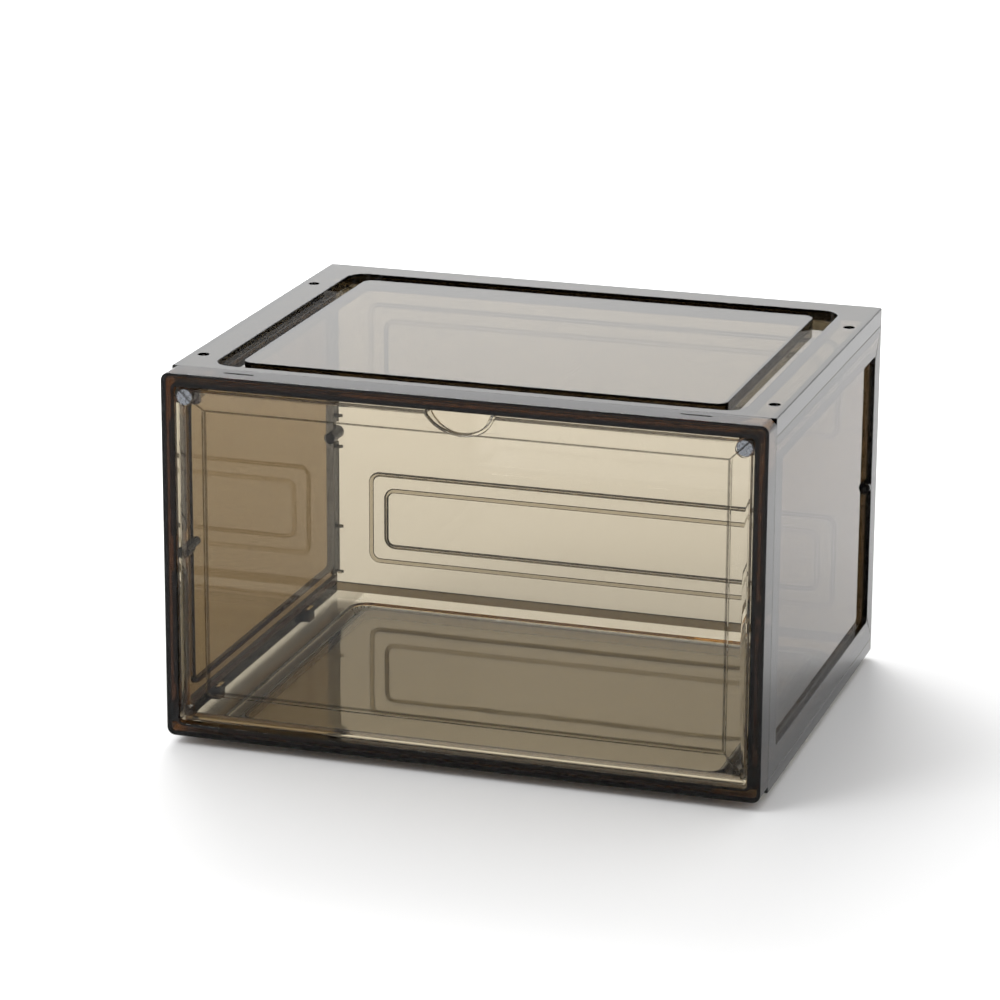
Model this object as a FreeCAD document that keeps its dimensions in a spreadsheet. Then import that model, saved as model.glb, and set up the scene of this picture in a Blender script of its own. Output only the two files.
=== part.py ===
"""Stackable drop-front shoe box, in millimetres.

Frame: X to the right, Y to the back, Z up. The origin is at the middle of the footprint, on the
surface that the box stands on. The box stands on the ridge under its floor, so the front frame and
the floor's skirt start one ridge depth higher.
"""
import FreeCAD, Part
import math
import os
import re
import Sketcher

SIZES = [
    ("width", 360.0, "outside width"),
    ("depth", 286.0, "outside depth, front face to back face"),
    ("body_height", 221.0, "height without the stacking ridge"),
    ("wall", 2.5, "outer walls"),
    ("rib", 2.2, "inner walls, tongues and groove walls"),
    ("rear_corner", 2.4, "radius of the upright rear corners"),
    ("edge_round", 0.8, "small rounding of visible edges"),
    ("frame_face", 8.0, "width of the front frame's face"),
    ("frame_depth", 18.0, "depth of the front frame"),
    ("frame_corner", 5.0, "outer corner radius of the front frame"),
    ("aperture_corner", 2.0, "corner radius of the frame's opening"),
    ("floor_skirt", 7.7, "height of the floor's upstand"),
    ("lid_skirt", 10.8, "height of the lid's skirt"),
    ("groove_half", 158.5, "half width of the stacking groove's outline"),
    ("groove_front", 25.5, "front of the groove's outline, from the front face"),
    ("groove_rear", 267.0, "rear of the groove's outline, from the front face"),
    ("groove_width", 13.3, "width of the stacking groove"),
    ("groove_depth", 6.5, "depth of the stacking groove"),
    ("groove_corner", 12.0, "corner radius of the groove's outline"),
    ("plateau_corner", 7.0, "corner radius of the groove's inner outline"),
    ("plateau_drop", 0.5, "how far the middle field lies below its rim"),
    ("ridge_depth", 5.6, "height of the stacking ridge under the floor"),
    ("ridge_gap", 0.4, "clearance of the ridge in a groove, each side"),
    ("ridge_taper", 28.0, "draft of the ridge's outer side, degrees"),
    ("stack_hole", 3.5, "radius of the four holes in the lid"),
    ("stack_hole_x", 171.6, "distance of the holes from the middle"),
    ("stack_hole_front", 46.0, "front holes, from the front face"),
    ("stack_hole_rear", 231.0, "rear holes, from the front face"),
    ("recess_front", 34.0, "front of a side recess, from the front face"),
    ("recess_rear", 270.0, "rear of a side recess, from the front face"),
    ("recess_low", 23.0, "bottom of a side recess, above the frame's foot"),
    ("recess_high", 194.0, "top of a side recess, above the frame's foot"),
    ("recess_depth", 3.5, "depth of a side recess"),
    ("recess_corner", 3.0, "corner radius of a side recess"),
    ("tongue_gap", 6.0, "where tongues and flanges stop short of a corner"),
    ("tongue_end", 24.0, "how far back the front tongues are joined on"),
    ("tongue_half", 150.0, "half width of the floor's and lid's tongues"),
    ("tongue_rise", 14.0, "how far a panel's hidden tongue reaches into the box"),
    ("tongue_low", 30.0, "lowest point of the side panels' front tongues"),
    ("front_peg_x", 173.2, "distance of the front pegs from the middle"),
    ("front_peg_radius", 2.8, "front pegs at mid-height of the side panels"),
    ("collar_radius", 4.4, "collars behind the frame, round the front pegs"),
    ("collar_length", 4.0, "length of those collars"),
    ("rear_peg_x", 175.6, "distance of the rear pegs from the middle"),
    ("rear_peg_radius", 4.4, "rear pegs at mid-height of the side panels"),
    ("peg_bump", 4.0, "how far a rear peg shows inside the side recess"),
    ("nick_low", 1.0, "bottom of the nick behind a rear peg, above the peg's axis"),
    ("nick_high", 4.6, "top of that nick, above the peg's axis"),
    ("socket_radius", 4.8, "bosses in the frame round the front pegs"),
    ("socket_front", 11.0, "front of those bosses, from the front face"),
    ("flange_front", 273.5, "front edge of the back panel's flanges"),
    ("flange_low", 16.0, "lowest point of the back panel's flanges"),
    ("flange_high", 195.0, "highest point of the back panel's flanges"),
    ("nib_length", 2.8, "snap nibs beside the back panel's flanges, along the depth"),
    ("nib_width", 2.7, "width of a snap nib"),
    ("nib_height", 1.2, "height of a snap nib"),
    ("emboss_half", 153.7, "half width of a ring embossed on the back"),
    ("emboss_low", 24.5, "bottom of the lower ring, above the frame's foot"),
    ("emboss_high", 85.2, "top of the lower ring, above the frame's foot"),
    ("emboss_width", 12.5, "width of a ring embossed on the back"),
    ("emboss_depth", 1.5, "how far a ring stands into the box"),
    ("emboss_corner", 7.0, "corner radius of a ring's outer outline"),
    ("emboss_inner_corner", 4.7, "corner radius of a ring's inner outline"),
    ("clip_inner", 127.0, "inner end of a clip slot, from the middle"),
    ("clip_outer", 144.5, "outer end of a clip slot, from the middle"),
    ("clip_front", 9.7, "front of a clip slot, from the front face"),
    ("clip_width", 1.6, "width of a clip slot"),
    ("clip_play", 0.2, "clearance of a catch in its slot"),
    ("peg_play", 0.1, "radial clearance of a front peg in its socket"),
    ("catch_height", 1.3, "height of a catch on a tongue"),
    ("hook_x", 126.0, "distance of the outer stiffening ribs from the middle"),
    ("hook_half", 1.5, "half width of a stiffening rib on a tongue"),
    ("hook_height", 0.9, "height of a stiffening rib on a tongue"),
    ("block_length", 10.0, "length of a retaining block on the floor"),
    ("block_width", 4.7, "width of a retaining block"),
    ("block_height", 8.0, "height of a retaining block"),
    ("block_front", 60.0, "front block, from the front face"),
    ("block_rear", 215.0, "rear block, from the front face"),
    ("stop_size", 11.6, "door stops in the frame's top corners, each way"),
    ("stop_front", 10.5, "front of the door stops, from the front face"),
    ("stop_rear", 16.0, "rear of the door stops, from the front face"),
    ("root", 1.1, "how far a feature reaches into the wall that it stands on"),
    ("magnet_x", 166.0, "distance of the magnets from the middle"),
    ("magnet_height", 206.9, "height of the magnets above the frame's foot"),
    ("magnet_radius", 4.6, "radius of a magnet"),
    ("magnet_thick", 3.0, "thickness of a magnet"),
    ("magnet_skin", 1.4, "plastic left in front of a magnet"),
    ("hinge_back", 5.0, "hinge line, behind the front face"),
    ("hinge_height", 16.2, "hinge line, above the frame's foot"),
    ("pin_radius", 2.0, "door's stub pins"),
    ("pin_gap", 0.05, "radial clearance of a stub pin in its bore"),
    ("pin_length", 3.8, "length of a stub pin beyond the door's edge"),
    ("bore_depth", 4.5, "depth of a bore from the frame's opening"),
    ("knuckle_radius", 4.3, "round knuckle at the root of a stub pin"),
    ("knuckle_length", 8.0, "length of a knuckle"),
    ("door_side_gap", 0.5, "gap between door and opening, each side"),
    ("door_top_gap", 0.6, "gap above the door"),
    ("door_low_gap", 2.4, "gap under the door"),
    ("door_front", 0.5, "door's face, behind the front face"),
    ("door_rear", 10.0, "door's rear edge, behind the front face"),
    ("door_skin", 2.0, "wall thickness of the door"),
    ("door_flange", 2.2, "flat border of the door"),
    ("door_slope", 12.0, "width of the sloped border"),
    ("door_dish", 5.8, "depth of the sloped border"),
    ("door_step", 0.7, "how much deeper the flat middle lies"),
    ("door_step_corner", 3.0, "corner radius of the flat middle"),
    ("magnet_wall", 0.6, "plastic round a magnet in the door"),
    ("door_corner", 2.0, "corner radius of the door"),
    ("notch_radius", 20.0, "radius of the thumb notch"),
    ("notch_height", 218.6, "centre of the notch's arc, above the frame's foot"),
]

SIDES = {"left": -1, "right": 1}
NIB_HEIGHTS = ("15", "46", "100", "121", "175", "206")  # snap nibs, above the frame's foot
FRONT = "(-depth / 2)"
REAR = "(depth / 2)"
SIDE = "(width / 2)"
FOOT = "ridge_depth"
TOP = "(ridge_depth + body_height)"
MIDDLE = "(ridge_depth + body_height / 2)"

doc = FreeCAD.newDocument("shoe_box")


def fill_sheet():
    sheet = doc.addObject("Spreadsheet::Sheet", "Sizes")
    for row, (alias, size, meaning) in enumerate(SIZES, start=1):
        sheet.set("A%d" % row, meaning)
        sheet.set("B%d" % row, str(size))
        sheet.setAlias("B%d" % row, alias)
    doc.recompute()


def bound(text):
    """The text with every size's name turned into a reference to the sheet."""
    names = {alias for alias, _, _ in SIZES}
    return re.sub(r"[a-z_]+", lambda m: "Sizes." + m[0] if m[0] in names else m[0], text)


def value(text):
    return float(doc.Sizes.evalExpression(bound(text)))


def mirrored(span, side):
    """A span along X, or its mirror image on the left side."""
    low, high = span
    return (low, high) if side > 0 else ("-(%s)" % high, "-(%s)" % low)


def both_ways(half):
    return ("-(%s)" % half, half)


def at_side(distance, side):
    return distance if side > 0 else "-(%s)" % distance


# ---- sketches -------------------------------------------------------------------------------

PLANES = {"X": "YZ_Plane", "Y": "XZ_Plane", "Z": "XY_Plane"}


def sketch_at(body, name, axis, span):
    """A sketch square to an axis, from which a feature grows over the span.

    The sketch on XZ looks along -Y, so it lies at the span's far end.
    """
    sketch = body.newObject("Sketcher::SketchObject", name + "_sketch")
    roles = {plane.Role: plane for plane in body.Origin.OriginFeatures}
    sketch.AttachmentSupport = [(roles[PLANES[axis]], "")]
    sketch.MapMode = "FlatFace"
    level = "-(%s)" % span[1] if axis == "Y" else span[0]
    sketch.setExpression("AttachmentOffset.Base.z", bound(level))
    return sketch


def datum(sketch, kind, items, text, number):
    """Adds a dimension with a start value and binds it to the sheet."""
    index = sketch.addConstraint(Sketcher.Constraint(kind, *items, number))
    sketch.setExpression("Constraints[%d]" % index, bound(text))


def draw_box(sketch, box, corners):
    """A rectangle (left, right, low, high); corners holds its radii from low left, anticlockwise."""
    left, right, low, high = [value(text) for text in box]
    points = [(left, low), (right, low), (right, high), (left, high)]
    ways = [(1, 0), (0, 1), (-1, 0), (0, -1)]
    radii = [value(text) if text else 0.0 for text in corners]
    first = sketch.GeometryCount
    for k in range(4):
        start = FreeCAD.Vector(*points[k], 0) + radii[k] * FreeCAD.Vector(*ways[k], 0)
        end = FreeCAD.Vector(*points[(k + 1) % 4], 0) - radii[(k + 1) % 4] * FreeCAD.Vector(*ways[k], 0)
        sketch.addGeometry(Part.LineSegment(start, end))
        sketch.addConstraint(Sketcher.Constraint("Vertical" if k % 2 else "Horizontal", first + k))
    for k in range(4):
        before = first + (k - 1) % 4
        after = first + k
        if not corners[k]:
            sketch.addConstraint(Sketcher.Constraint("Coincident", before, 2, after, 1))
            continue
        inward = FreeCAD.Vector(*ways[k], 0) - FreeCAD.Vector(*ways[(k - 1) % 4], 0)
        centre = FreeCAD.Vector(*points[k], 0) + radii[k] * inward
        circle = Part.Circle(centre, FreeCAD.Vector(0, 0, 1), radii[k])
        begin = math.radians(90 * (k - 2))
        arc = sketch.addGeometry(Part.ArcOfCircle(circle, begin, begin + math.pi / 2))
        sketch.addConstraint(Sketcher.Constraint("Tangent", before, 2, arc, 1))
        sketch.addConstraint(Sketcher.Constraint("Tangent", arc, 2, after, 1))
        datum(sketch, "Radius", [arc], corners[k], radii[k])
    datum(sketch, "DistanceY", [-1, 1, first, 1], box[2], low)
    datum(sketch, "DistanceX", [-1, 1, first + 1, 1], box[1], right)
    datum(sketch, "DistanceY", [-1, 1, first + 2, 1], box[3], high)
    datum(sketch, "DistanceX", [-1, 1, first + 3, 1], box[0], left)


def draw_circle(sketch, centre, radius):
    place = FreeCAD.Vector(value(centre[0]), value(centre[1]), 0)
    circle = sketch.addGeometry(Part.Circle(place, FreeCAD.Vector(0, 0, 1), value(radius)))
    datum(sketch, "Radius", [circle], radius, value(radius))
    datum(sketch, "DistanceX", [-1, 1, circle, 3], centre[0], place.x)
    datum(sketch, "DistanceY", [-1, 1, circle, 3], centre[1], place.y)


# ---- features -------------------------------------------------------------------------------

def extrude(body, kind, name, sketch, span):
    """Grows or cuts over the span, along the sketch's normal."""
    feature = body.newObject("PartDesign::" + kind, name)
    feature.Profile = sketch
    feature.setExpression("Length", bound("(%s) - (%s)" % (span[1], span[0])))
    feature.Reversed = kind == "Pocket"


def tapered(body, kind, name, axis, level, depth, box, taper):
    """Grows or cuts from a level into the box, so up to -Z or +Y, getting narrower on the way."""
    sketch = sketch_at(body, name, axis, (level, level))
    draw_box(sketch, box[:4], [box[4]] * 4)
    feature = body.newObject("PartDesign::" + kind, name)
    feature.Profile = sketch
    feature.setExpression("Length", bound(depth))
    feature.setExpression("TaperAngle", bound("-(%s)" % taper))
    feature.Reversed = kind == "Pad"


def block(body, kind, name, axis, span, *boxes):
    """Adds (Pad) or cuts (Pocket) a block; further boxes are holes in the first one's outline.

    Each box is (left, right, low, high) and, optionally, one radius or a list of four.
    """
    sketch = sketch_at(body, name, axis, span)
    for box in boxes:
        corners = box[4] if len(box) > 4 else ""
        draw_box(sketch, box[:4], corners if isinstance(corners, list) else [corners] * 4)
    extrude(body, kind, name, sketch, span)


def rod(body, kind, name, axis, span, radius, *centres):
    sketch = sketch_at(body, name, axis, span)
    for centre in centres:
        draw_circle(sketch, centre, radius)
    extrude(body, kind, name, sketch, span)


def round_edges(body, name, radius, chosen):
    """Rounds the edges of the body so far that the test picks."""
    doc.recompute()
    base = body.Tip
    names = ["Edge%d" % n for n, edge in enumerate(base.Shape.Edges, start=1) if chosen(edge)]
    fillet = body.newObject("PartDesign::Fillet", name)
    fillet.Base = (base, names)
    fillet.setExpression("Radius", bound(radius))


def new_body(label):
    body = doc.addObject("PartDesign::Body", label)
    body.Label = label
    return body


def from_front(distance):
    return "(%s + %s)" % (FRONT, distance)


def from_foot(height):
    return "(%s + %s)" % (FOOT, height)


# ---- the lid and the floor ------------------------------------------------------------------

def ring_box(inset, corner):
    """An outline a given distance inside the stacking groove's outer outline."""
    half = "groove_half - (%s)" % inset
    low = from_front("groove_front + (%s)" % inset)
    high = from_front("groove_rear - (%s)" % inset)
    return ("-(%s)" % half, half, low, high, corner)


def footprint(inset, front):
    """The panel's outline behind the frame, with rounded rear corners when it isn't inset."""
    corners = ["", "", "rear_corner", "rear_corner"] if inset == "0" else ""
    half = "width / 2 - (%s)" % inset
    return ("-(%s)" % half, half, front, "depth / 2 - (%s)" % inset, corners)


def front_tongue(body, low, catch):
    """The tongue that the frame clips over, with ribs on its box side and two catches."""
    high = "%s + rib" % low
    y_span = (from_front("tongue_gap"), from_front("tongue_end"))
    block(body, "Pad", "tongue", "Z", (low, high), (*both_ways("tongue_half"), *y_span))
    rib_span = (high, "%s + hook_height" % high)
    if catch == "up":
        rib_span = ("%s - hook_height" % low, low)
    for name, middle in (("left", "-hook_x"), ("middle", "0"), ("right", "hook_x")):
        across = ("%s - hook_half" % middle, "%s + hook_half" % middle)
        box = (*across, from_front("tongue_gap"), from_front("frame_depth"))
        block(body, "Pad", "stiffener_" + name, "Z", rib_span, box)
    catch_span = (high, "%s + catch_height" % high)
    if catch == "down":
        catch_span = ("%s - catch_height" % low, low)
    for name, side in SIDES.items():
        across = mirrored(("clip_inner + clip_play", "clip_outer - clip_play"), side)
        box = (*across, from_front("clip_front + clip_play"),
               from_front("clip_front + clip_width - clip_play"))
        block(body, "Pad", "catch_" + name, "Z", catch_span, box)


def top_panel():
    body = new_body("top_panel")
    seam = from_front("frame_depth")
    under_plate = "%s - wall" % TOP
    groove_floor = "%s - groove_depth" % TOP
    skirt_low = "%s - lid_skirt" % TOP
    block(body, "Pad", "lid", "Z", (skirt_low, TOP), footprint("0", seam))
    block(body, "Pocket", "inside", "Z", (skirt_low, under_plate), footprint("wall", seam + " - wall"))
    block(body, "Pad", "groove_walls", "Z", ("%s - rib" % groove_floor, under_plate),
          ring_box("-rib", "groove_corner + rib"),
          ring_box("groove_width + rib", "plateau_corner - rib"))
    block(body, "Pocket", "groove", "Z", (groove_floor, TOP),
          ring_box("0", "groove_corner"), ring_box("groove_width", "plateau_corner"))
    block(body, "Pocket", "middle_field", "Z", ("%s - plateau_drop" % TOP, TOP),
          ring_box("groove_width - wall", "plateau_corner"))
    rows = (from_front("stack_hole_front"), from_front("stack_hole_rear"))
    rod(body, "Pocket", "stacking_holes", "Z", (under_plate, TOP), "stack_hole",
        *[(x, y) for x in both_ways("stack_hole_x") for y in rows])
    front_tongue(body, "%s - rib" % under_plate, "up")
    top = value(TOP)
    sides = value(SIDE)
    round_edges(body, "top_edge", "edge_round", lambda edge: on_plane(edge, "z", top) and (
        on_plane(edge, "x", sides) or on_plane(edge, "x", -sides) or on_plane(edge, "y", value(REAR))))
    return body


def bottom_panel():
    body = new_body("bottom_panel")
    seam = from_front("frame_depth")
    plate_top = from_foot("wall")
    skirt_top = from_foot("floor_skirt")
    block(body, "Pad", "tray", "Z", (FOOT, skirt_top), footprint("0", seam))
    block(body, "Pocket", "inside", "Z", (plate_top, skirt_top), footprint("wall", seam + " - wall"))
    tapered(body, "Pad", "ridge", "Z", FOOT, FOOT, ring_box("ridge_gap", "groove_corner"), "ridge_taper")
    slant = "rib / cos(ridge_taper * 1deg) - wall * tan(ridge_taper * 1deg)"
    tapered(body, "Pocket", "trough", "Z", plate_top, "%s - rib" % plate_top,
            ring_box("ridge_gap + " + slant, "groove_corner"), "ridge_taper")
    inner = "groove_width - ridge_gap"
    field_top = "%s - plateau_drop" % plate_top
    block(body, "Pad", "field", "Z", ("0", field_top), ring_box(inner + " - rib", "plateau_corner + rib"))
    block(body, "Pocket", "field_underside", "Z", ("0", field_top + " - rib"),
          ring_box(inner, "plateau_corner"))
    front_tongue(body, plate_top, "down")
    for name, side in SIDES.items():
        for place in ("front", "rear"):
            start = from_front("block_" + place)
            across = mirrored(("width / 2 - wall - rib - block_width", "width / 2 - wall - rib"), side)
            block(body, "Pad", "block_%s_%s" % (name, place), "Z",
                  (plate_top, "%s + block_height" % plate_top),
                  (*across, start, "%s + block_length" % start))
    return body


# ---- the sides and the back -----------------------------------------------------------------

def side_panel(name, side):
    body = new_body(name + "_side_panel")
    seam_low = from_foot("floor_skirt")
    seam_high = "%s - lid_skirt" % TOP
    skin_inside = "width / 2 - wall"
    tongue_span = mirrored(("width / 2 - wall - rib", skin_inside), side)
    depth_span = (from_front("frame_depth"), REAR)
    across = mirrored((skin_inside, SIDE), side)
    rear_rounding = ["", "", "rear_corner", ""] if side > 0 else ["", "", "", "rear_corner"]
    block(body, "Pad", "skin", "Z", (seam_low, seam_high), (*across, *depth_span, rear_rounding))
    recess = (from_front("recess_front"), from_front("recess_rear"),
              from_foot("recess_low"), from_foot("recess_high"), "recess_corner")
    around = (recess[0] + " - rib", recess[1] + " + rib", recess[2] + " - rib", recess[3] + " + rib",
              "recess_corner + rib")
    recess_floor = "width / 2 - recess_depth"
    block(body, "Pad", "recess_walls", "X", mirrored((recess_floor + " - rib", skin_inside), side), around)
    block(body, "Pocket", "recess", "X", mirrored((recess_floor, SIDE), side), recess)
    hidden = (from_front("tongue_end"), "depth / 2 - tongue_gap")
    block(body, "Pad", "floor_tongue", "X", tongue_span,
          (*hidden, from_foot("wall"), from_foot("tongue_rise")))
    block(body, "Pad", "lid_tongue", "X", tongue_span,
          (*hidden, "%s - lid_skirt - tongue_gap" % TOP, "%s - wall - clip_play" % TOP))
    clear_of_peg = "socket_radius + tongue_gap"
    into_frame = (from_front("tongue_gap"), from_front("tongue_end"))
    for part, low, high in (
            ("lower", from_foot("tongue_low"), "%s - (%s)" % (MIDDLE, clear_of_peg)),
            ("upper", "%s + %s" % (MIDDLE, clear_of_peg), "%s - tongue_low" % TOP)):
        block(body, "Pad", part + "_frame_tongue", "X", tongue_span, (*into_frame, low, high))
    front_centre = (at_side("front_peg_x", side), MIDDLE)
    rod(body, "Pad", "front_peg", "Y", (from_front("socket_front + rib"), from_front("recess_front")),
        "front_peg_radius", front_centre)
    rod(body, "Pad", "front_collar", "Y",
        (from_front("frame_depth"), from_front("frame_depth + collar_length")),
        "collar_radius", front_centre)
    rod(body, "Pad", "rear_peg", "Y", (from_front("recess_rear - peg_bump"), "depth / 2 - wall"),
        "rear_peg_radius", (at_side("rear_peg_x", side), MIDDLE))
    block(body, "Pocket", "rear_nick", "X", across,
          ("depth / 2 - wall", REAR, "%s + nick_low" % MIDDLE, "%s + nick_high" % MIDDLE))
    return body


def back_panel():
    body = new_body("back_panel")
    inside = "depth / 2 - wall"
    block(body, "Pad", "plate", "Y", (inside, REAR),
          (*both_ways("width / 2 - wall"), from_foot("floor_skirt"), "%s - lid_skirt" % TOP))
    flange_span = (from_front("flange_front"), inside)
    clear_of_peg = "rear_peg_radius + rib"
    flange_outside = "width / 2 - wall - clip_play"
    flange_inside = flange_outside + " - rib"
    nib_depth = ("%s - nib_length" % inside, inside)
    for name, side in SIDES.items():
        thick = mirrored((flange_inside, flange_outside), side)
        for part, low, high in (
                ("lower", from_foot("flange_low"), "%s - (%s)" % (MIDDLE, clear_of_peg)),
                ("upper", "%s + %s" % (MIDDLE, clear_of_peg), from_foot("flange_high"))):
            block(body, "Pad", "flange_%s_%s" % (name, part), "X", thick, (*flange_span, low, high))
        nib_width = mirrored((flange_inside + " - nib_width", flange_inside), side)
        for number, height in enumerate(NIB_HEIGHTS, start=1):
            nib = (from_foot(height), from_foot(height + " + nib_height"))
            block(body, "Pad", "nib_%s_%d" % (name, number), "Z", nib, (*nib_width, *nib_depth))
    rings = {
        "lower": (from_foot("emboss_low"), from_foot("emboss_high")),
        "upper": ("%s - emboss_high" % TOP, "%s - emboss_low" % TOP),
    }
    for name, (low, high) in rings.items():
        raised = (inside + " - emboss_depth", inside)
        sunk = ("depth / 2 - emboss_depth", REAR)
        block(body, "Pad", "ring_" + name, "Y", raised,
              emboss_box(low, high, "0", "emboss_corner"),
              emboss_box(low, high, "emboss_width", "emboss_inner_corner"))
        block(body, "Pocket", "ring_groove_" + name, "Y", sunk,
              emboss_box(low, high, "rib", "emboss_corner - rib"),
              emboss_box(low, high, "emboss_width - rib", "emboss_inner_corner + rib"))
    return body


def emboss_box(low, high, inset, corner):
    half = "emboss_half - (%s)" % inset
    return ("-(%s)" % half, half, "%s + (%s)" % (low, inset), "%s - (%s)" % (high, inset), corner)


# ---- the front frame ------------------------------------------------------------------------

def frame_box(inset, corner):
    half = "width / 2 - (%s)" % inset
    return ("-(%s)" % half, half, from_foot(inset), "%s - (%s)" % (TOP, inset), corner)


def front_frame():
    body = new_body("front_frame")
    rear = from_front("frame_depth")
    block(body, "Pad", "bezel", "Y", (FRONT, rear),
          frame_box("0", "frame_corner"), frame_box("frame_face", "aperture_corner"))
    block(body, "Pocket", "channel", "Y", (from_front("wall"), rear),
          frame_box("wall", "frame_corner - wall"),
          frame_box("frame_face - rib", "aperture_corner + rib"))
    clip_span = (from_front("clip_front"), from_front("clip_front + clip_width"))
    walls = {"top": ("%s - wall" % TOP, TOP), "bottom": (FOOT, from_foot("wall"))}
    for wall_name, wall_span in walls.items():
        for name, side in SIDES.items():
            across = mirrored(("clip_inner", "clip_outer"), side)
            block(body, "Pocket", "slot_%s_%s" % (wall_name, name), "Z", wall_span, (*across, *clip_span))
    opening = "width / 2 - frame_face"
    for name, side in SIDES.items():
        door_stop(body, name, side, opening)
        peg_socket(body, name, side, rear)
        hinge_bore(body, name, side, opening)
    front = value(FRONT)
    round_edges(body, "front_edge", "edge_round", lambda edge: on_plane(edge, "y", front))
    return body


def door_stop(body, name, side, opening):
    """The ear in a top corner that stops the door and holds the frame's magnet."""
    across = mirrored(("%s - stop_size" % opening, "%s + root" % opening), side)
    lintel = "%s - frame_face" % TOP
    span = (from_front("stop_front"), from_front("stop_rear"))
    block(body, "Pad", "stop_" + name, "Y", span, (*across, "%s - stop_size" % lintel, "%s + root" % lintel))
    centre = (at_side("magnet_x", side), from_foot("magnet_height"))
    pocket = (from_front("stop_front + magnet_skin"), span[1])
    rod(body, "Pocket", "magnet_pocket_" + name, "Y", pocket, "magnet_radius", centre)


def peg_socket(body, name, side, rear):
    """The boss that takes a side panel's front peg."""
    centre = (at_side("front_peg_x", side), MIDDLE)
    rod(body, "Pad", "socket_" + name, "Y", (from_front("socket_front"), rear), "socket_radius", centre)
    rod(body, "Pocket", "socket_bore_" + name, "Y", (from_front("socket_front + rib"), rear),
        "front_peg_radius + peg_play", centre)


def hinge_bore(body, name, side, opening):
    """The thickened place in a jamb with the bore for the door's stub pin."""
    jamb = mirrored(("%s + rib" % opening, "width / 2 - wall"), side)
    around = (from_front("wall"), from_front("hinge_back + knuckle_radius"),
              from_foot("frame_face"), from_foot("hinge_height + knuckle_radius"))
    block(body, "Pad", "bearing_" + name, "X", jamb, around)
    centre = (from_front("hinge_back"), from_foot("hinge_height"))
    rod(body, "Pocket", "bore_" + name, "X", mirrored((opening, "%s + bore_depth" % opening), side),
        "pin_radius + pin_gap", centre)


# ---- the door -------------------------------------------------------------------------------

def door_box(inset, corner=""):
    half = "width / 2 - frame_face - door_side_gap - (%s)" % inset
    low = from_foot("frame_face + door_low_gap + (%s)" % inset)
    high = "%s - frame_face - door_top_gap - (%s)" % (TOP, inset)
    return ("-(%s)" % half, half, low, high, corner)


def door():
    body = new_body("door")
    face = from_front("door_front")
    rear = from_front("door_rear")
    through = (face, rear)
    flange_back = from_front("door_front + door_skin")
    slope = "atan(door_slope / door_dish)"
    # the slope's skin is square to the slope, so behind the flange its outline shifts by this much
    shift = "door_skin * (door_slope - sqrt(door_slope ^ 2 + door_dish ^ 2)) / door_dish"
    block(body, "Pad", "border", "Y", through, door_box("0", "door_corner"))
    block(body, "Pocket", "rear_hollow", "Y", (flange_back, rear), door_box("door_skin"))
    tapered(body, "Pad", "dish_back", "Y", flange_back, "door_dish",
            door_box("door_flange + " + shift), slope)
    dish_floor = from_front("door_front + door_dish + door_step")
    block(body, "Pad", "step_back", "Y",
          (from_front("door_front + door_dish + door_skin / 2"), dish_floor + " + door_skin"),
          door_box("door_flange + door_slope + " + shift, "door_step_corner"))
    notch_centre = ("0", from_foot("notch_height"))
    notch_wall(body, through, notch_centre)
    boss_radius = "magnet_radius + magnet_wall"
    magnets = {name: (at_side("magnet_x", side), from_foot("magnet_height")) for name, side in SIDES.items()}
    for name, centre in magnets.items():
        rod(body, "Pad", "magnet_boss_" + name, "Y", through, boss_radius, centre)
    tapered(body, "Pocket", "dish", "Y", face, "door_dish", door_box("door_flange"), slope)
    block(body, "Pocket", "step", "Y", (from_front("door_front + door_dish - door_step"), dish_floor),
          door_box("door_flange + door_slope", "door_step_corner"))
    rod(body, "Pocket", "notch", "Y", through, "notch_radius", notch_centre)
    for name, side in SIDES.items():
        rod(body, "Pad", "magnet_seat_" + name, "Y", (face, magnet_place()[1]), boss_radius, magnets[name])
        rod(body, "Pocket", "magnet_pocket_" + name, "Y", (magnet_place()[0], rear), "magnet_radius",
            magnets[name])
        stub_pin(body, name, side)
    return body


def magnet_place():
    """Where a door magnet lies along Y."""
    return (from_front("door_front + magnet_skin"), from_front("door_front + magnet_skin + magnet_thick"))


def notch_wall(body, span, centre):
    """The wall round the thumb notch: a disc cut off at the door's top edge."""
    sketch = sketch_at(body, "notch_wall", "Y", span)
    radius = value("notch_radius + door_skin")
    level = value(door_box("0")[3])
    middle = FreeCAD.Vector(0, value(centre[1]), 0)
    begin = math.asin((level - middle.y) / radius)
    circle = Part.Circle(middle, FreeCAD.Vector(0, 0, 1), radius)
    arc = sketch.addGeometry(Part.ArcOfCircle(circle, math.pi - begin, 2 * math.pi + begin))
    ends = [sketch.getPoint(arc, 1), sketch.getPoint(arc, 2)]
    chord = sketch.addGeometry(Part.LineSegment(*ends))
    sketch.addConstraint(Sketcher.Constraint("Coincident", arc, 1, chord, 1))
    sketch.addConstraint(Sketcher.Constraint("Coincident", arc, 2, chord, 2))
    sketch.addConstraint(Sketcher.Constraint("Horizontal", chord))
    sketch.addConstraint(Sketcher.Constraint("PointOnObject", arc, 3, -2))
    datum(sketch, "Radius", [arc], "notch_radius + door_skin", radius)
    datum(sketch, "DistanceY", [-1, 1, arc, 3], centre[1], middle.y)
    datum(sketch, "DistanceY", [-1, 1, chord, 1], door_box("0")[3], level)
    extrude(body, "Pad", "notch_wall", sketch, span)


def stub_pin(body, name, side):
    """A stub pin and the round knuckle it grows from."""
    centre = (from_front("hinge_back"), from_foot("hinge_height"))
    edge = door_box("0")[1]
    rod(body, "Pad", "knuckle_" + name, "X", mirrored(("%s - knuckle_length" % edge, edge), side),
        "knuckle_radius", centre)
    rod(body, "Pad", "pin_" + name, "X",
        mirrored(("%s - knuckle_length / 2" % edge, "%s + pin_length" % edge), side), "pin_radius", centre)


# ---- the magnets ----------------------------------------------------------------------------

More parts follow.
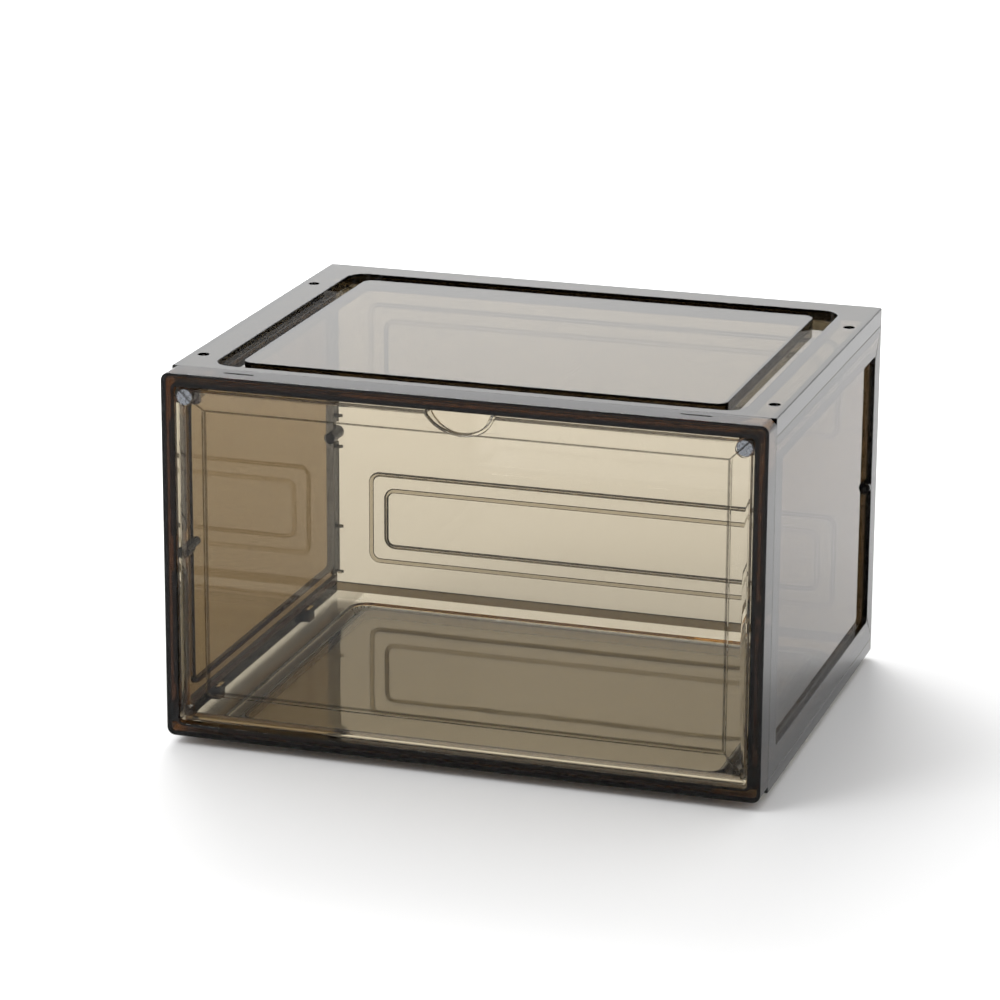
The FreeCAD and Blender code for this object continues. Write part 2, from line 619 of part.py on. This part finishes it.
def magnet(label, side, front):
    body = new_body(label)
    centre = (at_side("magnet_x", side), from_foot("magnet_height"))
    rod(body, "Pad", "disc", "Y", (front, "%s + magnet_thick" % front), "magnet_radius", centre)
    return body


def on_plane(edge, letter, level):
    """True if both ends and the middle of an edge lie at a level along an axis."""
    span = (edge.FirstParameter, (edge.FirstParameter + edge.LastParameter) / 2, edge.LastParameter)
    return all(abs(getattr(edge.valueAt(p), letter) - level) < 1e-6 for p in span)


# ---- build, check, write --------------------------------------------------------------------

def check_and_write(bodies):
    doc.recompute()
    for thing in doc.Objects:
        if "Invalid" in thing.State or "Error" in thing.State:
            raise RuntimeError("%s is %s" % (thing.Label, thing.State))
        if thing.TypeId == "PartDesign::Pocket":
            if thing.Shape.Volume > thing.BaseFeature.Shape.Volume - 1.0:
                raise RuntimeError("%s cuts nothing" % thing.Label)
    os.makedirs("parts", exist_ok=True)
    for body in bodies:
        shape = body.Shape
        if shape.isNull() or not shape.isValid() or len(shape.Solids) != 1:
            raise RuntimeError("%s is not one valid solid" % body.Label)
        shape.exportStep(os.path.join("parts", body.Label + ".step"))
        print(body.Label)


fill_sheet()
parts = [
    bottom_panel(),
    top_panel(),
    side_panel("left", SIDES["left"]),
    side_panel("right", SIDES["right"]),
    back_panel(),
    front_frame(),
    door(),
]
for side_name, side_sign in SIDES.items():
    parts.append(magnet("door_magnet_" + side_name, side_sign, magnet_place()[0]))
    parts.append(magnet("frame_magnet_" + side_name, side_sign, from_front("stop_front + magnet_skin")))
check_and_write(parts)
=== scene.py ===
"""Shoe box with a drop-front door: materials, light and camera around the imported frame.

Lengths are in metres, in the CAD's own frame: x across the front, y into the box, z up.
"""

import math

import bpy
from mathutils import Matrix, Vector

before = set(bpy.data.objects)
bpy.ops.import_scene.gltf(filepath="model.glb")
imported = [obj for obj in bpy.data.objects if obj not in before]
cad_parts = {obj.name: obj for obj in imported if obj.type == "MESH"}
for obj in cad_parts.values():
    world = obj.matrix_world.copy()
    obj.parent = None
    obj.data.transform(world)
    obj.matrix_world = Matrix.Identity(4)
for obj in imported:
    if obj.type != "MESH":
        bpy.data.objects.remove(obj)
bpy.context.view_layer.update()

# Camera, angles in degrees
CAMERA_PLACE = Vector((0.6742, -2.1745, 0.8121))
CAMERA_AZIMUTH = 17.68
CAMERA_ELEVATION = 16.29
CAMERA_ROLL = 0.31
SENSOR = 36.0
LENS = 142.36
SHIFT = (-0.0023, -0.0325)

# Studio. Each sky ramp is low and high place, then the strength at each.
FLOOR_HALF = 9.0
FLOOR_COLOUR = (0.9, 0.9, 0.9, 1.0)
FLOOR_ROUGHNESS = 0.9
WHITE = (1.0, 1.0, 1.0, 1.0)
SKY_BY_DEPTH = (-0.9, 0.6, 0.55, 1.5)
SKY_BY_SIDE = (-0.6, 0.6, 1.2, 0.65)
# Area lights: name, place, target, size, power
LIGHTS = (
    ("backdrop", (-0.6, 1.3, 1.4), (-0.4, 0.65, 0.0), (1.1, 0.9), 22.0),
    ("key", (-1.1, -1.3, 2.0), (0.0, 0.0, 0.1), (0.9, 0.9), 14.0),
)
# How often light may pass through walls, and how often it may be mirrored
PASSES = 24
MIRRORINGS = 12

# Plastic: light absorbed in each metre of it, for red, green and blue
LID_ABSORPTION = (510.0, 560.0, 670.0)
FLOOR_ABSORPTION = (86.0, 118.0, 198.0)
SIDE_ABSORPTION = (640.0, 790.0, 1110.0)
BACK_ABSORPTION = (320.0, 370.0, 480.0)
DARK_SMOKE_ABSORPTION = (430.0, 620.0, 1250.0)
CLEAR_ABSORPTION = (9.0, 10.0, 15.0)
DENSITY_ROOM = 1.25
PLASTIC_IOR = 1.47
SIDE_IOR = 1.36
DARK_SMOKE_IOR = 1.3
CLEAR_IOR = 1.26

# Plastic's skin: roughness where it is polished and where it is hazy, and the height of its waves
PANEL_SKIN = (0.0, 0.05, 0.0001)
FRAME_SKIN = (0.02, 0.08, 0.0001)
DOOR_SKIN = (0.0, 0.03, 0.00006)
HAZE_SCALE = 14.0
HAZE_LOW, HAZE_HIGH = 0.35, 0.75
WAVE_SCALE = 16.0

# Painted shade, painted into the plastic's colour: what part of the light a dark place lets through, at
# rounded edges and at walls square to a panel's flat skin
SMOKE_PAINTED_SHADE = (0.14, 0.11, 0.07)
BACK_PAINTED_SHADE = (0.01, 0.008, 0.005)
DARK_PAINTED_SHADE = (0.25, 0.22, 0.18)
CLEAR_PAINTED_SHADE = (0.12, 0.11, 0.10)
SKIN_FACING, WALL_FACING = 0.5, 0.2
# Margins of painted shade: where they start on |x|, and how dark the painted shade is
FLOOR_SHADE_MARGIN = (0.157, 0.4)
FRAME_SHADE_MARGIN = (0.1782, 1.0)
MARGIN_FADE = 0.0015
# The outline of the door's flat middle: half its width, middle height and half height; and its painted dark
# line of shade
DOOR_OUTLINE = (0.156, 0.1179, 0.0859)
LINE_HALF = 0.0004
LINE_FADE = 0.0008
OUTLINE_PAINTED_SHADE = 0.75

# Magnets: the play leaves air round a magnet, whose end and side faces move apart at its rims by as much
MAGNET_NODES = ("door_magnet_left", "door_magnet_right", "frame_magnet_left", "frame_magnet_right")
MAGNET_PLAY = 0.00004
# Their grain, with a roughness ramp of low and high grain, then the roughness at each
GRAIN_SCALE = 900.0
GRAIN_DARK = (0.04, 0.045, 0.055, 1.0)
GRAIN_LIGHT = (0.36, 0.38, 0.42, 1.0)
GRAIN_ROUGHNESS = (0.3, 0.7, 0.18, 0.4)

# Round edges
WELD_DISTANCE = 1e-6
FLAT_ANGLE = math.radians(0.4)
LONG_EDGE = 0.008
SHARP_ANGLE = math.radians(22.0)
CREASE_ANGLE = math.radians(31.0)
EDGE_SEGMENTS = 3
FLAT_FACE_WEIGHT = 100
# A corner joins three sharp edges or more, and an edge with a corner at one end is at least so much a corner
THREE_EDGES = 2.5
TOUCHES_CORNER = 0.25
# Where the next edge is nearer than so many widths, so much is taken off the width
NEAR_STEPS = ((2.4, 0.4), (1.2, 0.3), (0.6, 0.3))
# A round edge's faces: how narrow they are, and how much the surface turns there
ROUNDING = "rounding"
ROUND_STRIP = 0.0008
ROUND_TURN = math.radians(6.3)

# Zones of features too small for a round edge, as (low, high) on |x|, y and z
PIN_ZONE = ((0.160, 0.180), (-0.150, -0.125), (0.005, 0.030))
MAGNET_ZONE = ((0.156, 0.180), (-0.1430, -0.125), (0.204, 0.220))
DISH_LOW_ZONE = ((0.1525, 0.1575), (-0.145, -0.125), (0.030, 0.0355))
DISH_HIGH_ZONE = ((0.1525, 0.1575), (-0.145, -0.125), (0.2003, 0.2058))
STOP_ZONE = ((0.164, 0.181), (-0.134, -0.124), (0.206, 0.227))
FRAME_FOOT_ZONE = ((0.165, 0.1785), (-0.143, -0.136), (0.005, 0.027))
SOCKET_ZONE = ((0.165, 0.1795), (-0.135, -0.1235), (0.108, 0.126))
FRONT_HOLE_ZONE = ((0.166, 0.176), (-0.103, -0.091), (0.210, 0.230))
REAR_HOLE_ZONE = ((0.166, 0.176), (0.082, 0.094), (0.210, 0.230))
SIDE_REAR_ZONE = ((0.160, 0.181), (0.140, 0.145), (0.0, 0.230))
PEG_ZONE = ((0.165, 0.181), (-0.140, 0.132), (0.108, 0.126))
# Each moulding's edge width and zones
ROUND_EDGES = {
    "bottom_panel": (0.0004, ()),
    "top_panel": (0.0004, (FRONT_HOLE_ZONE, REAR_HOLE_ZONE)),
    "left_side_panel": (0.0004, (SIDE_REAR_ZONE, PEG_ZONE)),
    "right_side_panel": (0.0004, (SIDE_REAR_ZONE, PEG_ZONE)),
    "back_panel": (0.00045, ()),
    "front_frame": (0.0004, (STOP_ZONE, FRAME_FOOT_ZONE, SOCKET_ZONE)),
    "door": (0.0005, (PIN_ZONE, MAGNET_ZONE, DISH_LOW_ZONE, DISH_HIGH_ZONE)),
}


# Nodes that materials, the sky and node groups share


def link(tree, source, target):
    tree.links.new(source, target)


def maths(tree, operation, *values):
    """The result of a maths node on sockets and numbers."""
    node = tree.nodes.new("ShaderNodeMath")
    node.operation = operation
    for socket, value in zip(node.inputs, values):
        if isinstance(value, float):
            socket.default_value = value
        else:
            link(tree, value, socket)
    return node.outputs["Value"]


def spread(tree, source, low, high, out_low, out_high):
    """The source's low to high, as out_low to out_high."""
    ramp = tree.nodes.new("ShaderNodeMapRange")
    ramp.inputs["From Min"].default_value = low
    ramp.inputs["From Max"].default_value = high
    ramp.inputs["To Min"].default_value = out_low
    ramp.inputs["To Max"].default_value = out_high
    link(tree, source, ramp.inputs["Value"])
    return ramp.outputs["Result"]


def split_xyz(tree, vector):
    split = tree.nodes.new("ShaderNodeSeparateXYZ")
    link(tree, vector, split.inputs["Vector"])
    return split.outputs


def object_place(tree):
    return tree.nodes.new("ShaderNodeTexCoord").outputs["Object"]


def noise(tree, scale, detail=2.0, roughness=0.5):
    """A noise in the object's own metres."""
    texture = tree.nodes.new("ShaderNodeTexNoise")
    texture.inputs["Scale"].default_value = scale
    texture.inputs["Detail"].default_value = detail
    texture.inputs["Roughness"].default_value = roughness
    link(tree, object_place(tree), texture.inputs["Vector"])
    return texture.outputs["Fac"]


# Materials


def new_material(name):
    material = bpy.data.materials.new(name)
    material.use_nodes = True
    tree = material.node_tree
    tree.nodes.clear()
    shader = tree.nodes.new("ShaderNodeBsdfPrincipled")
    output = tree.nodes.new("ShaderNodeOutputMaterial")
    link(tree, shader.outputs["BSDF"], output.inputs["Surface"])
    return material, tree, shader, output


def colour_mix(tree, factor, colour):
    """White at 0, and the colour at 1."""
    mix = tree.nodes.new("ShaderNodeMix")
    mix.data_type = "RGBA"
    first, second = [socket for socket in mix.inputs if socket.type == "RGBA"]
    first.default_value = WHITE
    second.default_value = (*colour, 1.0)
    link(tree, factor, mix.inputs["Factor"])
    return [socket for socket in mix.outputs if socket.type == "RGBA"][0]


def off_outline(tree, across, half_width, middle, half_height):
    """How far a point is from a rectangle's outline, or from the mitre lines outside its corners."""
    out_x = maths(tree, "SUBTRACT", maths(tree, "ABSOLUTE", across["X"]), half_width)
    above = maths(tree, "ABSOLUTE", maths(tree, "SUBTRACT", across["Z"], middle))
    out_z = maths(tree, "SUBTRACT", above, half_height)
    ring = maths(tree, "ABSOLUTE", maths(tree, "MAXIMUM", out_x, out_z))
    off_mitre = maths(tree, "ABSOLUTE", maths(tree, "SUBTRACT", out_x, out_z))
    mitre = maths(tree, "MAXIMUM", off_mitre, maths(tree, "MULTIPLY", out_x, -1.0))
    return maths(tree, "MINIMUM", ring, mitre)


def plastic_painted_shade(tree, flat_axis, margin, outline):
    """How much painted shade each place of a moulding gets, 0 to 1."""
    # Painted shade on the rounded edges
    rounding = tree.nodes.new("ShaderNodeAttribute")
    rounding.attribute_name = ROUNDING
    painted_shade = rounding.outputs["Fac"]
    # Painted shade on walls square to the flat skin
    if flat_axis:
        normal = tree.nodes.new("ShaderNodeNewGeometry").outputs["True Normal"]
        facing = maths(tree, "ABSOLUTE", split_xyz(tree, normal)[flat_axis])
        painted_shade = maths(tree, "MAXIMUM", painted_shade, spread(tree, facing, SKIN_FACING, WALL_FACING, 0.0, 1.0))
    # Painted shade on the outer margin beyond its start on |x|
    if margin:
        start, shade = margin
        beside = maths(tree, "ABSOLUTE", split_xyz(tree, object_place(tree))["X"])
        beyond = spread(tree, beside, start, start + MARGIN_FADE, 0.0, shade)
        painted_shade = maths(tree, "MAXIMUM", painted_shade, beyond)
    # A painted dark line of shade along the door's outline and its mitre lines
    if outline:
        off = off_outline(tree, split_xyz(tree, object_place(tree)), *outline)
        painted_shade = maths(tree, "MAXIMUM", painted_shade, spread(tree, off, LINE_HALF, LINE_FADE, OUTLINE_PAINTED_SHADE, 0.0))
    return painted_shade


def plastic(name, absorption, edge, skin, flat_axis=None, ior=PLASTIC_IOR, margin=None, outline=None):
    """Moulded clear plastic with a body tint, slow waves in its skin and faint haze where hands rub it.

    Its rounded edges and the walls square to its flat skin, and where asked an outer margin and an outline,
    get painted shade in its colour, standing in for the light that leaves them having run a long way inside
    the wall. The flat skin faces along flat_axis.
    """
    polished, hazy, wave_height = skin
    material, tree, shader, output = new_material(name)
    painted_shade = plastic_painted_shade(tree, flat_axis, margin, outline)
    # Painted shade: the colour goes from white towards the edge colour where painted shade is marked
    link(tree, colour_mix(tree, painted_shade, edge), shader.inputs["Base Color"])
    shader.inputs["Transmission Weight"].default_value = 1.0
    shader.inputs["IOR"].default_value = ior
    haze = noise(tree, HAZE_SCALE, detail=5.0, roughness=0.6)
    link(tree, spread(tree, haze, HAZE_LOW, HAZE_HIGH, polished, hazy), shader.inputs["Roughness"])
    bump = tree.nodes.new("ShaderNodeBump")
    bump.inputs["Strength"].default_value = 1.0
    bump.inputs["Distance"].default_value = wave_height
    link(tree, noise(tree, WAVE_SCALE, detail=1.0), bump.inputs["Height"])
    link(tree, bump.outputs["Normal"], shader.inputs["Normal"])
    volume = tree.nodes.new("ShaderNodeVolumeAbsorption")
    density = max(absorption) * DENSITY_ROOM
    volume.inputs["Density"].default_value = density
    volume.inputs["Color"].default_value = [1.0 - a / density for a in absorption] + [1.0]
    link(tree, volume.outputs["Volume"], output.inputs["Volume"])
    return material


def metal(name):
    """Nickel-plated magnet steel with a fine speckled grain."""
    material, tree, shader, _ = new_material(name)
    shader.inputs["Metallic"].default_value = 1.0
    grain = noise(tree, GRAIN_SCALE, detail=3.0)
    colour = tree.nodes.new("ShaderNodeValToRGB")
    colour.color_ramp.elements[0].color = GRAIN_DARK
    colour.color_ramp.elements[1].color = GRAIN_LIGHT
    link(tree, grain, colour.inputs["Fac"])
    link(tree, colour.outputs["Color"], shader.inputs["Base Color"])
    link(tree, spread(tree, grain, *GRAIN_ROUGHNESS), shader.inputs["Roughness"])
    return material


def paint(node, material):
    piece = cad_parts[node]
    for place in range(len(piece.material_slots)):
        piece.material_slots[place].material = material


# Round edges


def geometry_group(name):
    """A node group that changes a mesh, with the mesh that goes in and the socket that it leaves by."""
    group = bpy.data.node_groups.new(name, "GeometryNodeTree")
    for direction in ("INPUT", "OUTPUT"):
        group.interface.new_socket("Geometry", in_out=direction, socket_type="NodeSocketGeometry")
    return group, group.nodes.new("NodeGroupInput").outputs[0], group.nodes.new("NodeGroupOutput").inputs[0]


def on_domain(group, domain, value, data_type="FLOAT"):
    """A value worked out on points or edges, and averaged where it is used on something else."""
    node = group.nodes.new("GeometryNodeFieldOnDomain")
    node.domain = domain
    node.data_type = data_type
    link(group, value, node.inputs["Value"])
    return node.outputs["Value"]


def edge_angle(group):
    return group.nodes.new("GeometryNodeInputMeshEdgeAngle").outputs["Unsigned Angle"]


def edge_length(group):
    ends = group.nodes.new("GeometryNodeInputMeshEdgeVertices")
    distance = group.nodes.new("ShaderNodeVectorMath")
    distance.operation = "DISTANCE"
    link(group, ends.outputs["Position 1"], distance.inputs[0])
    link(group, ends.outputs["Position 2"], distance.inputs[1])
    return distance.outputs["Value"]


def smooth_edges_below(group, mesh, value, limit):
    """The mesh with its edges smooth where the value is below the limit, and sharp elsewhere."""
    below = group.nodes.new("FunctionNodeCompare")
    below.operation = "LESS_THAN"
    below.inputs["B"].default_value = limit
    link(group, value, below.inputs["A"])
    edges = group.nodes.new("GeometryNodeSetShadeSmooth")
    edges.domain = "EDGE"
    link(group, mesh, edges.inputs["Geometry"])
    link(group, below.outputs["Result"], edges.inputs["Shade Smooth"])
    return edges.outputs["Geometry"]


def store(group, mesh, domain, name, value):
    """The mesh with a value kept as its attribute."""
    node = group.nodes.new("GeometryNodeStoreNamedAttribute")
    node.domain = domain
    node.data_type = "FLOAT"
    node.inputs["Name"].default_value = name
    link(group, mesh, node.inputs["Geometry"])
    link(group, value, node.inputs["Value"])
    return node.outputs["Geometry"]


def keep_long_edges():
    """A node group that marks long edges inside flat faces.

    The dissolve keeps them, so that no face has a hole in it.
    """
    group, mesh, result = geometry_group("keep_long_edges")
    link(group, smooth_edges_below(group, mesh, edge_length(group), LONG_EDGE), result)
    return group


def outside_zones(group, weight, zones):
    """The weight, or 0 for edges in a zone."""
    position = group.nodes.new("GeometryNodeInputPosition").outputs["Position"]
    place = split_xyz(group, on_domain(group, "EDGE", position, "FLOAT_VECTOR"))
    axes = (maths(group, "ABSOLUTE", place["X"]), place["Y"], place["Z"])
    for zone in zones:
        within = [
            maths(group, "COMPARE", axis, (low + high) / 2.0, (high - low) / 2.0)
            for axis, (low, high) in zip(axes, zone)
        ]
        inside = maths(group, "MULTIPLY", maths(group, "MULTIPLY", within[0], within[1]), within[2])
        weight = maths(group, "MULTIPLY", weight, maths(group, "SUBTRACT", 1.0, inside))
    return weight


def edge_rounding(name, width, zones):
    """A node group that marks the edges for the bevel.

    Sharp edges get a bevel, which is narrower where the next edge is close by.
    """
    group, mesh, result = geometry_group(name)
    sharp = on_domain(group, "EDGE", maths(group, "GREATER_THAN", edge_angle(group), SHARP_ANGLE))
    neighbours = group.nodes.new("GeometryNodeInputMeshVertexNeighbors").outputs["Vertex Count"]
    sharp_count = maths(group, "MULTIPLY", on_domain(group, "POINT", sharp), neighbours)
    corner = on_domain(group, "POINT", maths(group, "GREATER_THAN", sharp_count, THREE_EDGES))
    at_corner = maths(group, "GREATER_THAN", on_domain(group, "EDGE", corner), TOUCHES_CORNER)
    crossing = maths(group, "MAXIMUM", maths(group, "SUBTRACT", 1.0, sharp), at_corner)
    length = on_domain(group, "EDGE", edge_length(group))
    weight = sharp
    for widths, less in NEAR_STEPS:
        short = maths(group, "LESS_THAN", length, widths * width)
        short_crossing = on_domain(group, "EDGE", maths(group, "MULTIPLY", short, crossing))
        near_point = maths(group, "GREATER_THAN", on_domain(group, "POINT", short_crossing), 0.0)
        near = maths(group, "GREATER_THAN", on_domain(group, "EDGE", near_point), 0.0)
        weight = maths(group, "SUBTRACT", weight, maths(group, "MULTIPLY", near, less))
    weight = outside_zones(group, maths(group, "MAXIMUM", weight, 0.0), zones)
    plain = group.nodes.new("GeometryNodeRemoveAttribute")
    plain.inputs["Name"].default_value = "custom_normal"
    link(group, mesh, plain.inputs["Geometry"])
    link(group, store(group, plain.outputs["Geometry"], "EDGE", "bevel_weight_edge", weight), result)
    return group


def smooth_by_angle():
    """A node group that shades faces smooth, keeps edges sharper than CREASE_ANGLE and marks round edges.

    A face belongs to a round edge if its area is tiny for the length of its sides, and the surface turns
    there.
    """
    group, mesh, result = geometry_group("smooth_by_angle")
    faces = group.nodes.new("GeometryNodeSetShadeSmooth")
    faces.domain = "FACE"
    link(group, mesh, faces.inputs["Geometry"])
    angle, length = edge_angle(group), edge_length(group)
    creased = smooth_edges_below(group, faces.outputs["Geometry"], angle, CREASE_ANGLE)
    mean_length = on_domain(group, "EDGE", length)
    area = group.nodes.new("GeometryNodeInputMeshFaceArea").outputs["Area"]
    narrow = maths(group, "LESS_THAN", maths(group, "DIVIDE", area, mean_length), ROUND_STRIP)
    turned_length = on_domain(group, "EDGE", maths(group, "MULTIPLY", angle, length))
    turn = maths(group, "DIVIDE", turned_length, mean_length)
    rounded = maths(group, "MULTIPLY", narrow, maths(group, "GREATER_THAN", turn, ROUND_TURN))
    link(group, store(group, creased, "FACE", ROUNDING, rounded), result)
    return group


def soften_edges(node, width, zones, keeping, shading):
    """Rounds the CAD's sharp edges as a mould does."""
    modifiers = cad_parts[node].modifiers
    modifiers.new("weld", "WELD").merge_threshold = WELD_DISTANCE
    modifiers.new("keep_long_edges", "NODES").node_group = keeping
    flat = modifiers.new("flat_faces", "DECIMATE")
    flat.decimate_type = "DISSOLVE"
    flat.delimit = {"SHARP"}
    flat.angle_limit = FLAT_ANGLE
    modifiers.new("edge_marks", "NODES").node_group = edge_rounding(node + "_edges", width, zones)
    bevel = modifiers.new("round_edges", "BEVEL")
    bevel.width = width
    bevel.segments = EDGE_SEGMENTS
    bevel.limit_method = "WEIGHT"
    bevel.use_clamp_overlap = False
    bevel.loop_slide = False
    modifiers.new("smooth_by_angle", "NODES").node_group = shading
    normals = modifiers.new("flat_face_normals", "WEIGHTED_NORMAL")
    normals.weight = FLAT_FACE_WEIGHT
    normals.keep_sharp = True


# Studio


def add_floor():
    mesh = bpy.data.meshes.new("studio_floor")
    corners = [(x * FLOOR_HALF, y * FLOOR_HALF, 0) for x, y in ((-1, -1), (1, -1), (1, 1), (-1, 1))]
    mesh.from_pydata(corners, [], [(0, 1, 2, 3)])
    floor = bpy.data.objects.new("studio_floor", mesh)
    bpy.context.scene.collection.objects.link(floor)
    material, _, shader, _ = new_material("studio_floor_look")
    shader.inputs["Base Color"].default_value = FLOOR_COLOUR
    shader.inputs["Roughness"].default_value = FLOOR_ROUGHNESS
    shader.inputs["Specular IOR Level"].default_value = 0.0
    mesh.materials.append(material)
    return floor


def add_sky():
    """A bright white studio, darker behind the camera and to the right."""
    world = bpy.data.worlds.new("studio")
    bpy.context.scene.world = world
    world.use_nodes = True
    sky = world.node_tree
    sky.nodes.clear()
    towards = split_xyz(sky, sky.nodes.new("ShaderNodeTexCoord").outputs["Generated"])
    depth_shade = spread(sky, towards["Y"], *SKY_BY_DEPTH)
    side_shade = spread(sky, towards["X"], *SKY_BY_SIDE)
    background = sky.nodes.new("ShaderNodeBackground")
    background.inputs["Color"].default_value = WHITE
    link(sky, maths(sky, "MULTIPLY", depth_shade, side_shade), background.inputs["Strength"])
    output = sky.nodes.new("ShaderNodeOutputWorld")
    link(sky, background.outputs["Background"], output.inputs["Surface"])


def add_light(name, place, target, size, power):
    data = bpy.data.lights.new(name, "AREA")
    data.shape = "RECTANGLE"
    data.size, data.size_y = size
    data.energy = power
    light = bpy.data.objects.new(name, data)
    light.location = place
    light.rotation_mode = "QUATERNION"
    light.rotation_quaternion = (Vector(target) - Vector(place)).to_track_quat("-Z", "Y")
    bpy.context.scene.collection.objects.link(light)


def add_camera():
    data = bpy.data.cameras.new("camera")
    data.sensor_width = SENSOR
    data.lens = LENS
    data.shift_x, data.shift_y = SHIFT
    camera = bpy.data.objects.new("camera", data)
    bpy.context.scene.collection.objects.link(camera)
    azimuth, elevation, roll = [math.radians(a) for a in (CAMERA_AZIMUTH, CAMERA_ELEVATION, CAMERA_ROLL)]
    level = math.cos(elevation)
    forward = Vector((-math.sin(azimuth) * level, math.cos(azimuth) * level, -math.sin(elevation)))
    right = forward.cross(Vector((0.0, 0.0, 1.0))).normalized()
    up = right.cross(forward)
    rolled_right = right * math.cos(roll) + up * math.sin(roll)
    rolled_up = rolled_right.cross(forward)
    turned = Matrix((rolled_right, rolled_up, -forward)).transposed().to_4x4()
    camera.matrix_world = Matrix.Translation(CAMERA_PLACE) @ turned
    bpy.context.scene.camera = camera


# Each look paints shade into its colour at rounded edges; the floor and frame also at an outer margin, and
# the door along its outline
side_smoke = plastic("side_smoke_look", SIDE_ABSORPTION, SMOKE_PAINTED_SHADE, PANEL_SKIN, "X", SIDE_IOR)
MOULDING_LOOKS = {
    "bottom_panel": plastic(
        "floor_smoke_look", FLOOR_ABSORPTION, SMOKE_PAINTED_SHADE, PANEL_SKIN, "Z", margin=FLOOR_SHADE_MARGIN
    ),
    "top_panel": plastic("lid_smoke_look", LID_ABSORPTION, SMOKE_PAINTED_SHADE, PANEL_SKIN, "Z"),
    "left_side_panel": side_smoke,
    "right_side_panel": side_smoke,
    "back_panel": plastic("back_smoke_look", BACK_ABSORPTION, BACK_PAINTED_SHADE, PANEL_SKIN, "Y"),
    "front_frame": plastic(
        "dark_smoke_look",
        DARK_SMOKE_ABSORPTION,
        DARK_PAINTED_SHADE,
        FRAME_SKIN,
        ior=DARK_SMOKE_IOR,
        margin=FRAME_SHADE_MARGIN,
    ),
    "door": plastic(
        "clear_plastic_look", CLEAR_ABSORPTION, CLEAR_PAINTED_SHADE, DOOR_SKIN, ior=CLEAR_IOR, outline=DOOR_OUTLINE
    ),
}
keeping, shading = keep_long_edges(), smooth_by_angle()
for moulding, look in MOULDING_LOOKS.items():
    paint(moulding, look)
    edge_width, edge_zones = ROUND_EDGES[moulding]
    soften_edges(moulding, edge_width, edge_zones, keeping, shading)

magnet_steel = metal("magnet_metal_look")
for magnet in MAGNET_NODES:
    paint(magnet, magnet_steel)
    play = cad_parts[magnet].modifiers.new("play", "DISPLACE")
    play.strength = -MAGNET_PLAY
    play.mid_level = 0.0

add_floor()
add_sky()
for studio_light in LIGHTS:
    add_light(*studio_light)
add_camera()

scene = bpy.context.scene
scene.view_settings.view_transform = "Standard"
scene.cycles.max_bounces = PASSES
scene.cycles.transmission_bounces = PASSES
scene.cycles.transparent_max_bounces = PASSES
scene.cycles.glossy_bounces = MIRRORINGS
scene.cycles.volume_bounces = 0
scene.cycles.use_denoising = True
